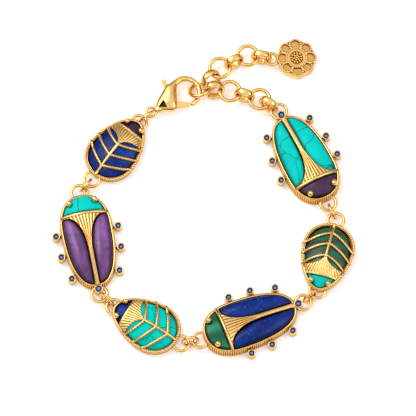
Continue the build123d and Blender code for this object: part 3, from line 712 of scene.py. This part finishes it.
def fan_flutes(t, x, y):
    """Eleven straight flutes that spread from the neck, cut off by the fan's curved sides. They fade
    into three grooves along the spine."""
    lean = 0.6 + 4.0 * np.clip((y + 1.5) / 8.3, 0, 1)
    open_share = np.clip((y + 1.5) / 3.5, 0, 1)
    eleven = 1 - np.abs(np.sin(5.5 * np.pi * (x / lean + 1))) ** 0.8
    three = 1 - np.abs(np.sin(1.5 * np.pi * (t + 1))) ** 0.8
    inside = np.clip((1 - np.abs(t)) * 12, 0, 1)
    shut_share = 1 - open_share
    drop = (0.17 * open_share * eleven + 0.07 * shut_share * three) * inside + 0.3 * shut_share * t ** 2
    # the second value is painted shade, deepest in the flutes' grooves
    return drop, np.clip((0.65 * open_share * eleven + 0.2 * shut_share * three) * inside, 0, 1)


LARGE_EYE = ((3.05, 10.05), 0.72)
SMALL_EYE = ((2.02, 7.753), 0.66)
EYE_POST = 0.36


def eyes(place, radius, height, low):
    """Two posts, one on each side, with a ball on each."""
    profile = [(0.0, low), (EYE_POST, low), (EYE_POST, height - radius), *ball(radius, height, -75, 18)]
    # painted shade down the post, under the ball
    painted_light_and_shade = [0.8, 0.8, 0.8, 0.5, 0.3, 0.1] + [0.0] * 15
    return [lathe(profile, (hand * place[0], place[1]), 28, painted_light_and_shade) for hand in (-1, 1)]


def cup(place, radius, top):
    """A closed tube with a rounded lip: wall 0.3, floor 0.85 below the lip."""
    lip = ((0.0, 0.16), (0.03, 0.05), (0.1, 0.0), (0.2, 0.0), (0.28, 0.05), (0.3, 0.16), (0.3, 0.85))
    profile = [(0, 0.55), (radius - 0.1, 0.55), (radius, 0.65)]
    profile += [(radius - inset, top - drop) for inset, drop in lip] + [(0, top - 0.85)]
    # painted shade down the cup's inner wall and on its floor
    return lathe(profile, place, 36, [0, 0, 0, 0, 0, 0, 0, 0.2, 0.6, 1, 1])


LOOP_RADIUS, LOOP_WIRE = 1.835, 0.39


def loop(middle, count, *span):
    """A loop of round wire, whole, or open where it meets the wall."""
    path = ring_path(LOOP_RADIUS, count, *span) + middle
    return wire(path, LOOP_WIRE, LOOP_WIRE, closed=not span, sides=18)


BAR_INSET, BAR_FOOT = 0.3, 0.55


def crossbar(kind, back, y, width, rise):
    """A rounded bar over the whole width of the egg, straight sides below a half-oval top."""
    half = float(egg_half_width(kind, BAR_INSET, y))
    x = crowded(-half, half, 61)
    angle = np.linspace(0, np.pi, 13)
    across = np.concatenate((np.cos(angle), (-1, 1)))
    up = np.concatenate((np.sin(angle), (0, 0)))
    top = back(x, y)[:, None] + rise * up - rise * 0.6
    top[:, -2:] = BAR_FOOT
    points = points_of(x[:, None], y + width / 2 * across, top)
    ends = points[[0, -1]].copy()
    ends[..., 1:] = y, BAR_FOOT
    return surface(np.concatenate((ends[:1], points, ends[1:])))


def beside(degrees, reach):
    """A place square to the large outline, so far outside it."""
    angle = math.radians(degrees)
    x, y = egg(LARGE, 0, angle)
    nx, ny = outward(LARGE, angle)
    return float(x + reach * nx), float(y + reach * ny)


NECK_HEIGHT = 1.25


def neck(root, tip):
    """A short ringed bar from the wall to a leg cup: three beads along an oval section."""
    share = np.linspace(0, 1, 25)[:, None]
    path = np.array((*root, NECK_HEIGHT)) * (1 - share) + np.array((*tip, NECK_HEIGHT)) * share
    return wire(path, 0.42, 0.62, sides=16, beads=(0.38, 0.3))


leg_turns = (-1.0, -18.7, -46.0)
leg_places, leg_roots, leg_ends = ([beside(turn, reach) for turn in leg_turns] for reach in (1.2, -0.3, 0.45))
large_cups = [((hand * x, y), 0.95, 2.5) for x, y in leg_places for hand in (-1, 1)]
large_cups.append(((0.0, -11.16), 1.06, 2.65))


def large_gold():
    """Every gold surface of a large scarab, at the origin with its head to +Y."""
    y = np.concatenate((np.linspace(-10.2, -0.9, 60), crowded(-0.8, 6.85, 90)))
    half = fan_half_width(y)
    # the fan's sides get painted shade
    fan = slab(-half, half, y, large_back, 0.6, 0.1, 99, fan_flutes, painted_shade_side=0.85)
    parts = [tray(LARGE, 0.65, 1.1, large_rim_top, 960, 108, 0.24), fan,
             loop((0, 13.2, 1.9), 60, -50, 230), loop((0, -12.4, 1.9), 72),
             crossbar(LARGE, large_back, 7.15, 0.9, 0.5), *eyes(*LARGE_EYE, 4.56, 0.6)]
    parts += [cup(*c) for c in large_cups]
    for root, end in zip(leg_roots, leg_ends):
        parts += [neck((hand * root[0], root[1]), (hand * end[0], end[1])) for hand in (-1, 1)]
    return parts


large_gold_parts = large_gold()
print("large scarab: gold surfaces", len(large_gold_parts))


# %% Stones of the large scarab
def mirrored(s):
    """The same surface on the other side of the middle line."""
    return dict(s, points=s["points"] * (-1, 1, 1))


def wing_stone():
    """From the fan's grown edge to the inside of the rim, under the wing's own arched back."""
    y = crowded(-9.76, 6.67, 120)
    inner = np.maximum(fan_half_width(y, 0.08), 0.655)
    outer = np.maximum(egg_half_width(LARGE, LARGE["stone_inset"], y), inner + 0.002)
    return slab(inner, outer, y, wing_back, LARGE["seat"], 0.45, 34, blunt=(False, True), shade=1.1)


def middle_stone(kind, span, top, edge, columns, blunt, shade):
    """A slab that fills the width inside the rim, from one y to another."""
    y = crowded(*span)
    half = np.maximum(egg_half_width(kind, kind["stone_inset"], y), 0.002)
    return slab(-half, half, y, top, kind["seat"], edge, columns, blunt=blunt, shade=shade)


def pitted_back(back, drop, eye_place, radius):
    """The back, so much lower, with a pit round each eye so that the ball sits in it."""
    def top(x, y):
        z = back(x, y) - drop
        for hand in (-1, 1):
            away = np.hypot(x - hand * eye_place[0], y - eye_place[1])
            z = z - 0.5 * np.clip((radius + 0.12 - away) / 0.2, 0, 1)
        return z
    return top


def large_head_stone():
    """From behind the bar to the tip, 0.2 below the gold's arch."""
    top = pitted_back(large_back, 0.2, *LARGE_EYE)
    return middle_stone(LARGE, (7.63, 11.51, 60), top, 0.5, 71, (True, False), 0.7)


def round_stone(place, radius, top):
    """A small brilliant: table, crown, girdle and pavilion, eight facets round."""
    levels = ((0.0, 0.0), (0.56, 0.0), (1.0, 0.22), (1.0, 0.28), (0.12, 0.68), (0.0, 0.68))
    profile = [(radius * share, top - drop) for share, drop in levels]
    # painted highlight on the table and the crown
    return lathe(profile, place, 8, (1.0, 0.75, 0.05, 0.0, 0.0, 0.0))


wing = wing_stone()
large_head = large_head_stone()
accents = [round_stone(place, radius - 0.38, top - 0.1) for place, radius, top in large_cups]
print("large scarab: stones", 3 + len(accents))

# %% [markdown]
# ## The small scarab
# A shorter body with one stone under a leaf-veined cage. Its rim is beaded wire and its veins are corded
# wire, which catch the light in small steps. The collar behind the head is a shield of narrow flutes.
# Straight tubes would be simpler, but each vein follows the arched back, so it keeps one height above
# the stone.


# %% Gold of the small scarab
def collar_half_width(y):
    """The shield widens from the spine by quarter ellipses, then keeps inside the rim."""
    share = np.clip((y - 1.4) / 2.7, 0, 1)
    shield = 4.7 - 4.45 * np.sqrt(1 - share ** 2)
    return np.minimum(shield, egg_half_width(SMALL, 0.4, y))


def collar_flutes(t, x, y):
    """Thirteen straight flutes that spread from the shield's point and stop short of its border."""
    lean = 1.9 + 3.0 * np.clip((y - 1.0) / 5.0, 0, 1)
    grow = np.clip((y - 1.7) / 1.2, 0, 1) * np.clip((6.0 - y) / 0.15, 0, 1)
    ridge = 1 - np.abs(np.sin(6.5 * np.pi * (x / lean + 1))) ** 0.6
    drop = 0.15 * ridge * grow * np.clip((1 - np.abs(t)) * 14, 0, 1)
    # the second value is painted shade, deepest in the flutes' grooves
    return drop, np.clip(0.6 * ridge * grow, 0, 1)


def vein(root_y, tip):
    """A corded wire from the spine to the rim: straight in plan but for a bow of a third of a millimetre
    towards the tail, on the arched back, and bent down over the rim at its end."""
    share = np.linspace(0, 1.03, 70)
    x, y = share * tip[0], root_y + share * (tip[1] - root_y) - 1.4 * share * (1 - share)
    z = np.maximum(small_back(x, y) - 0.15, 2.32)
    z = np.where(share > 0.95, z - 4.0 * (share - 0.95), z)
    return wire(points_of(x, y, z), 0.36, 0.34, sides=12, twist=(0.62, 0.14))


def small_gold():
    """Every gold surface of a small scarab, at the origin with its head to +Y."""
    y = np.concatenate((crowded(1.4, 4.1, 60), np.linspace(4.15, 6.22, 30)))
    half = collar_half_width(y)
    # the collar's sides get painted shade
    collar = slab(-half, half, y, small_back, 0.7, 0.08, 161, collar_flutes, painted_shade_side=0.85)
    rim = points_of(*egg(SMALL, 0.04, even_angles(SMALL, 900)), 2.0)
    spine_y = np.linspace(1.7, -7.0, 150)
    spine = points_of(0.0, spine_y, np.maximum(small_back(0.0, spine_y) - 0.17, 2.3))
    hood = points_of(*egg(SMALL, 0.2, np.linspace(0.66, np.pi - 0.66, 90)), 2.28)
    parts = [tray(SMALL, 0.55, 0.9, small_rim_top, 720, 90, 0.1), collar,
             wire(rim, 0.34, 0.34, closed=True, sides=12, beads=(0.56, 0.26)),
             wire(hood, 0.22, 0.26), wire(spine, 0.38, 0.38),
             crossbar(SMALL, small_back, 6.2, 0.26, 0.16),
             loop((0, 9.5, 1.5), 60, -28, 208), loop((0, -8.37, 1.5), 66, 112, 428)]
    for root_y, tip in zip((1.4, -1.64, -4.66), ((4.84, 3.98), (5.58, 1.49), (5.85, -1.05))):
        parts += [vein(root_y, (hand * tip[0], tip[1])) for hand in (-1, 1)]
    return parts + eyes(*SMALL_EYE, 3.23, 0.5)


small_gold_parts = small_gold()
print("small scarab: gold surfaces", len(small_gold_parts))


# %% Stones of the small scarab
def small_body_stone():
    """One dome from the collar to the tail, half a millimetre under the cage."""
    def top(x, y):
        return small_back(x, y) - 0.5
    return middle_stone(SMALL, (-6.47, 5.6, 110), top, 0.3, 81, (False, True), 0.8)


def small_head_stone():
    """From behind the collar to the tip."""
    top = pitted_back(small_back, 0.42, *SMALL_EYE)
    return middle_stone(SMALL, (6.31, 8.86, 50), top, 0.3, 61, (True, False), 0.5)


body_stone = small_body_stone()
small_head = small_head_stone()
print("small scarab: stones 2")

# %% [markdown]
# ## The six scarabs in their places
# The same two scarabs stand three times each, with other stones. They could be placed by hand, but
# their places and turns are known from the CAD model's lay.

# %% Scarabs
TURQUOISE, LAPIS = (turquoise, "turquoise"), (lapis, "lapis")
AMETHYST, DARK_AMETHYST = (amethyst, "amethyst"), (dark_amethyst, "amethyst")
MALACHITE, GREY_MALACHITE = (malachite, "malachite"), (grey_malachite, "malachite")
LARGE_SEATS = {
    "large_amethyst": ((-26.3760, -12.5168), 11.662, AMETHYST, TURQUOISE),
    "large_lapis": ((11.9768, -30.6696), 111.975, LAPIS, MALACHITE),
    "large_turquoise": ((23.1069, 10.4205), -152.883, TURQUOISE, DARK_AMETHYST),
}
SMALL_SEATS = {
    "small_lapis": ((-21.1434, 10.6556), -36.823, LAPIS, DARK_AMETHYST),
    "small_turquoise": ((-12.0771, -32.2385), 60.718, TURQUOISE, LAPIS),
    "small_malachite": ((29.0127, -13.6456), 166.463, GREY_MALACHITE, TURQUOISE),
}


def seat(name, place, turn, gold_parts, stones):
    """One scarab in its place. Each stone gives its piece, node, shape, material with slot, and the
    angle from which its edges stay sharp."""
    matrix, step = turn_about("z", turn), (*place, 0.0)
    make_piece(name + "_gold", moved(gold_parts, matrix, step), gold, stands_for=[name + "_setting"])
    for piece, node, shape, (material, slot), sharp in stones:
        make_piece(f"{name}_{piece}", moved(shape, matrix, step), material, slot=slot,
                   stands_for=[f"{name}_{node}"], sharp=sharp)


for name, (place, turn, wings, head) in LARGE_SEATS.items():
    seat(name, place, turn, large_gold_parts, [
        ("right_wing", "wing_right", [wing], wings, 70),
        ("left_wing", "wing_left", [mirrored(wing)], wings, 70),
        ("head", "head_stone", [large_head], head, 70),
        ("round_stones", "accent_stones", accents, (blue_round, "blue_glass"), 1)])
for name, (place, turn, body, head) in SMALL_SEATS.items():
    seat(name, place, turn, small_gold_parts, [
        ("body", "body_stone", [body_stone], body, 70), ("head", "head_stone", [small_head], head, 70)])

# %% [markdown]
# ## Rings and chain
# The jump rings stand in both loops and lean a little. The extender is a rolo chain: wide round links
# that lie flat, joined by broad oval bands that stand. One link hangs on the clasp's hook, so it leans.
# An array along a curve would space them evenly, but each lies as it fell, in a place of its own.

# %% Rings
JUMP_RINGS = {
    "jump_ring_1": ((-27.5389, 2.2607), 230.87), "jump_ring_2": ((-22.1931, -26.0623), 320.11),
    "jump_ring_3": ((-2.6191, -35.9865), 369.11), "jump_ring_4": ((25.0599, -24.5244), 403.53),
    "jump_ring_5": ((30.0882, -3.5098), 473.85), "clasp_ring": ((-13.6330, 19.8056), 580.39),
}
FLAT_LINKS = {
    "chain_link_1": (12.8218, 24.0824), "chain_link_2": (5.8286, 25.9951),
    "chain_link_4": (3.4349, 31.8651), "chain_link_5": (9.9512, 35.0433),
}
STANDING_LINKS = {
    "chain_band_1": ((15.0360, 22.8278, 2.8), 510.47, 0.0),
    "chain_band_2": ((9.3252, 25.0388, 2.8), 524.7, 0.0),
    "chain_band_3": ((2.1805, 26.3295, 2.7134), 724.27, 16.2),
    "chain_band_4": ((1.3768, 28.9239, 2.6422), 42.7, 21.9),
    "chain_band_5": ((6.6930, 33.4542, 2.8), 26.0, 0.0),
    "chain_band_6": ((13.1585, 34.7062, 2.8), -6.0, 0.0),
}
JUMP_HEIGHT, JUMP_TILT, LINK_HEIGHT = 2.062, 78.0, 2.8
jump_form = [wire(ring_path(1.73, 72), 0.37, 0.37, closed=True, sides=20)]
link_form = [wire(ring_path(2.405, 84), 0.47, 0.5, closed=True, sides=22)]


def band_form():
    """A broad oval band: half axes 2.1 along the chain and 2.4 up, both |cos| and |sin| to the power 0.8.
    It is 1.1 wide at its ends, where it holds the round links, and 1.6 across its back."""
    angle = np.arange(84) / 84 * 2 * np.pi
    path = points_of(2.1 * rounded(np.cos(angle), 0.8), 2.4 * rounded(np.sin(angle), 0.8), 0.0)
    return [wire(path, 0.4, 0.55 + 0.25 * np.sin(angle) ** 2, closed=True, sides=22, square=0.7)]


def hang(name, form, place, heading=0.0, tilt=0.0):
    """A ring tilted out of the table's plane, turned to its heading and put in its place."""
    matrix = turn_about("z", heading) @ turn_about("x", tilt)
    make_piece(name + "_wire", moved(form, matrix, place), gold, stands_for=[name])


for name, (place, heading) in JUMP_RINGS.items():
    hang(name, jump_form, (*place, JUMP_HEIGHT), heading, JUMP_TILT)
for name, place in FLAT_LINKS.items():
    hang(name, link_form, (*place, LINK_HEIGHT))
hang("chain_link_3", link_form, (-1.2515, 26.5308, 2.24), 27.4, -35.3)
for name, (place, heading, lean) in STANDING_LINKS.items():
    hang(name, band_form(), place, heading, 90.0 - lean)

# %% [markdown]
# ## The rosette
# A small disc of eight petals, four large and four small, each fenced by a beaded wire over a satin
# floor. A beaded ring stands inside them, and a heap of granules fills the middle. A jeweller solders
# it up from wire and grains on a plate, and here it is made the same way: one profile follows the
# petals' outline, and wires and balls lie on it.


# %% Rosette
PETALS, ROSETTE_REACH, FENCE_REACH, HUB, GRANULE = 8, 4.85, 4.58, 2.4, 0.32
PETAL_RADII, FENCE_RADII = (1.55, 1.35), (1.3, 1.15)


def petal_outline(angle):
    """How far out the rosette reaches: the furthest of its eight petal circles or its middle disc."""
    reach = np.full_like(angle, 4.5)
    for index in range(PETALS):
        radius = PETAL_RADII[index % 2]
        middle = ROSETTE_REACH - radius
        away = angle - index * 2 * np.pi / PETALS
        inside = radius ** 2 - (middle * np.sin(away)) ** 2
        hit = (inside > 0) & (np.cos(away) > 0)
        out = np.where(hit, middle * np.cos(away) + np.sqrt(np.maximum(inside, 0)), 0)
        reach = np.maximum(reach, out)
    return reach


def rosette_surfaces():
    """Body, petal fences, rings, granules and the loop, flat at the origin."""
    angle = np.arange(256) / 256 * 2 * np.pi
    reach = petal_outline(angle)
    profile = [(0.0, 0, 0)]
    # the third value is painted shade, on the sunken floors and the walls down to them
    profile += [(reach - inset, z, shade_level) for inset, z, shade_level in (
        (0.15, 0, 0), (0.03, 0.05, 0), (0.0, 0.2, 0), (0.0, 1.25, 0),
        (0.06, 1.42, 0), (0.2, 1.5, 0), (0.36, 1.48, 0.1), (0.42, 1.12, 0.3))]
    profile += [(HUB - inset, z, shade_level) for inset, z, shade_level in (
        (0.0, 1.12, 0.3), (0.0, 1.44, 0.4), (0.1, 1.5, 0), (0.7, 1.5, 0), (0.8, 1.44, 0.3),
        (0.8, 1.25, 0.6), (HUB, 1.25, 0.6))]
    rows = [points_of(radius * np.cos(angle), radius * np.sin(angle), z) for radius, z, shade_level in profile]
    shade_levels = np.array([shade_level for radius, z, shade_level in profile])[:, None] + 0 * angle
    parts = [surface(rows, painted_light_and_shade=shade_levels)]
    for index in range(PETALS):
        radius = FENCE_RADII[index % 2]
        path = ring_path(radius, 60, -140, 140) + (FENCE_REACH - radius, 0.0, 1.42)
        fence = wire(path, 0.3, 0.32, sides=10, beads=(0.56, 0.4))
        parts += moved([fence], turn_about("z", index * 360.0 / PETALS))
    beaded = ring_path(2.42, 160) + (0, 0, 1.46)
    parts.append(wire(beaded, 0.25, 0.28, closed=True, sides=10, beads=(0.5, 0.4)))
    parts.append(wire(ring_path(1.62, 72) + (0, 0, 1.44), 0.13, 0.16, closed=True, sides=8))
    for count, radius, height in ((1, 0.0, 1.58), (6, 0.58, 1.55), (11, 1.14, 1.45)):
        for index in range(count):
            turn = math.radians(index * 360 / count + 15)
            place = (radius * math.cos(turn), radius * math.sin(turn))
            parts.append(lathe(ball(GRANULE, height, -90, 9), place, 12))
    parts.append(wire(ring_path(1.45, 56) + (-5.94, 0, 1.0), 0.38, 0.38, closed=True, sides=16))
    return parts


ROSETTE_PLACE, ROSETTE_HEADING, ROSETTE_TILT = (21.2943, 34.9822, 0.5728), 5.0, 7.0
matrix = turn_about("z", ROSETTE_HEADING) @ turn_about("y", ROSETTE_TILT)
make_piece("rosette_gold", moved(rosette_surfaces(), matrix, ROSETTE_PLACE), gold, stands_for=["rosette"])

# %% [markdown]
# ## The clasp
# A lobster clasp is a cast body with a lever that a spring holds shut. Both could be drawn afresh, but the
# CAD model's outlines are true, so both keep its shape and take the polished gold. Only a three-cornered
# hollow is cut into the body's top, by a Boolean with a prism, and a dark plate covers its floor as painted
# shadow, so that the hollow looks dark.

# %% Clasp
HOLLOW = np.array([(-9.75, 23.6), (-10.95, 21.75), (-8.8, 21.7)])
HOLLOW_FLOOR, PRISM_TOP = 2.0, 6.0


def clasp_with_hollow():
    """The CAD's clasp body, less a three-cornered prism that is sunk into its top."""
    prism = bpy.data.meshes.new("hollow_cutter")
    corners = [(x * MM, y * MM, z * MM) for z in (HOLLOW_FLOOR, PRISM_TOP) for x, y in HOLLOW]
    prism.from_pydata(corners, [], [(0, 2, 1), (3, 4, 5), (0, 1, 4, 3), (1, 2, 5, 4), (2, 0, 3, 5)])
    solid = bpy.data.meshes.new("clasp_blank")
    welded(nodes["clasp_body"].data, solid, nodes["clasp_body"].matrix_world)
    cutter, blank = placed("hollow_cutter", prism), placed("clasp_blank", solid)
    cut = blank.modifiers.new("hollow", "BOOLEAN")
    cut.operation = "DIFFERENCE"
    cut.solver = "EXACT"
    cut.object = cutter
    mesh = bpy.data.meshes.new_from_object(blank.evaluated_get(bpy.context.evaluated_depsgraph_get()))
    mesh.name = "clasp_body_gold"
    bpy.data.batch_remove((cutter, blank, prism, solid))
    return mesh


def hollow_shadow_plate():
    """The painted shadow in the hollow: a thin plate with three corners, a little smaller than the hollow, on
    its floor.
    """
    middle = HOLLOW.mean(0)
    return surface([points_of(*(middle + share * (HOLLOW - middle)).T, HOLLOW_FLOOR + lift)
                    for share, lift in ((0.0, 0.01), (0.97, 0.01), (0.97, 0.12), (0.0, 0.12))])


dress("clasp_body_gold", clasp_with_hollow(), gold, stands_for=["clasp_body"], sharp=35.0)
# painted shadow: a dark, rough metal for the plate in the hollow
painted_shadow_metal = glossy("painted_shadow_metal", clouds, 0.5, 0.1, (2.0, 3.0),
                    ((0.35, (0.03, 0.02, 0.008)), (0.65, (0.08, 0.055, 0.025))))
make_piece("clasp_hollow_painted_shadow", [hollow_shadow_plate()], painted_shadow_metal)
lever = nodes["clasp_lever"].data
lever.materials.clear()
lever.materials.append(gold)
print("clasp_lever keeps", len(lever.polygons), "faces")

# %% [markdown]
# ## Table and light
# A white table, and a sky that is bright overhead and dim near the horizon. An even sky would be simpler,
# but gold shows only what it mirrors: the dim band draws the dark lines along polished wire. Three broad
# lamps give the faint shadow and the soft streaks on the stones, and a small one the sparks.

# %% Table
TABLE_REACH = 1.5
floor_mesh = bpy.data.meshes.new("table_top")
corners = [(x * TABLE_REACH, y * TABLE_REACH, 0.0) for x, y in ((-1, -1), (1, -1), (1, 1), (-1, 1))]
floor_mesh.from_pydata(corners, [], [(0, 1, 2, 3)])
table_top = placed("table_top", floor_mesh)
table_material, tree, shader, place = new_material("white_table")
set_inputs(tree, shader, {
    "Base Color": clouds(tree, place, (0.01, 2.0), ((0.3, (0.93, 0.93, 0.93)), (0.7, (0.95, 0.95, 0.95)))),
    "Roughness": 0.9, "Emission Strength": 0.25})
floor_mesh.materials.append(table_material)
print("table:", 2 * TABLE_REACH, "m square")

# %% Light
world = bpy.data.worlds.new("studio")
bpy.context.scene.world = world
world.use_nodes = True
tree = world.node_tree
tree.nodes.clear()
direction = tree.nodes.new("ShaderNodeTexCoord").outputs["Generated"]
split = add_node(tree, "SeparateXYZ", {"Vector": direction})
sky = ramp(tree, split.outputs["Z"], ((0.0, (0.04, 0.03, 0.02)), (0.25, (0.12, 0.10, 0.08)),
                                      (0.5, (0.55, 0.55, 0.55)), (0.85, (0.95, 0.95, 0.95))))
background = add_node(tree, "Background", {"Color": sky})
add_node(tree, "OutputWorld", {"Surface": background.outputs["Background"]})


def lamp(name, place, size, watts):
    """A square area lamp that looks at the middle of the bracelet."""
    data = bpy.data.lights.new(name, "AREA")
    data.size = size
    data.energy = watts
    thing = placed(name, data)
    thing.location = place
    east, north, up = np.array(place) - look_at
    thing.rotation_euler = (math.atan2(math.hypot(east, north), up), 0.0, math.atan2(east, -north))


lamp("key", (-0.45, 0.3, 0.6), 0.6, 1.9)
lamp("fill", (0.55, -0.15, 0.55), 0.5, 1.1)
lamp("crown", (-0.3, 0.22, 0.76), 0.26, 0.9)
lamp("spark", (-0.22, -0.28, 0.7), 0.12, 0.3)
bpy.context.scene.view_settings.view_transform = "Standard"

# %% [markdown]
# ## Sizes and the end
# The faces of all the pieces made here are counted.

# %% Sizes
print("faces in all:", sum(made.values()), "in", len(made), "pieces")
